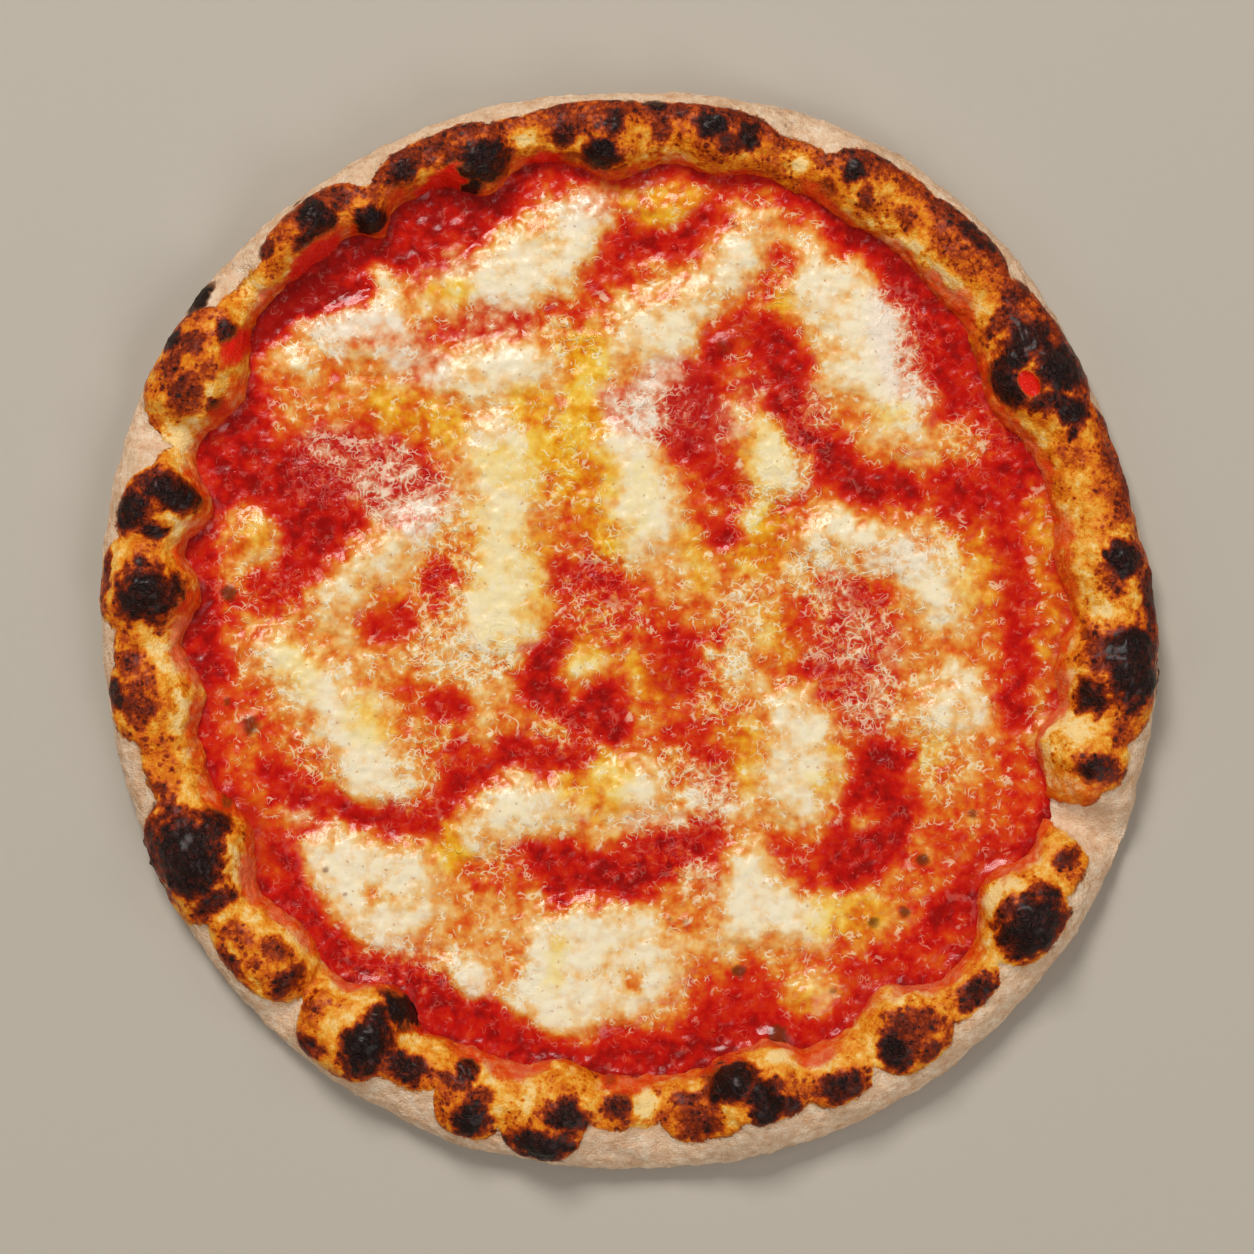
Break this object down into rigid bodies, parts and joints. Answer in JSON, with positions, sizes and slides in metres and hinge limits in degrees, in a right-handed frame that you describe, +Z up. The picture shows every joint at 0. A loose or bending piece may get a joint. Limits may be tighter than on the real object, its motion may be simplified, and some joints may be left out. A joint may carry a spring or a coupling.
{
  "type": "margherita pizza",
  "caption": "Round wood-fired margherita pizza with a puffed, charred rim, tomato sauce and melted mozzarella, lying flat.",
  "frame": {"origin": "centre of the pizza's outline box, on the surface that its underside rests on", "axes": "+Z up from the underside to the toppings; +X and +Y across the pizza, with the folded gap in the rim between +X and -Y"},
  "size_m": [0.3175, 0.3238, 0.0225],
  "materials": {
    "baked_dough": "matte baked dough: golden to dark brown with charred blisters, pale and floury at the side and underneath",
    "tomato_sauce": "wet, glossy cooked tomato",
    "mozzarella": "melted cheese with a soft, oily shine"
  },
  "bodies": {
    "root": {"dough": "baked_dough", "tomato_sauce": "tomato_sauce", "mozzarella_01": "mozzarella", "mozzarella_02": "mozzarella", "mozzarella_03": "mozzarella", "mozzarella_04": "mozzarella", "mozzarella_05": "mozzarella", "mozzarella_06": "mozzarella", "mozzarella_07": "mozzarella", "mozzarella_08": "mozzarella", "mozzarella_09": "mozzarella", "mozzarella_10": "mozzarella", "mozzarella_11": "mozzarella", "mozzarella_12": "mozzarella", "mozzarella_13": "mozzarella", "mozzarella_14": "mozzarella", "mozzarella_15": "mozzarella", "mozzarella_16": "mozzarella", "mozzarella_17": "mozzarella", "mozzarella_18": "mozzarella", "mozzarella_19": "mozzarella", "mozzarella_20": "mozzarella", "mozzarella_21": "mozzarella", "mozzarella_22": "mozzarella", "mozzarella_23": "mozzarella"}
  },
  "joints": []
}
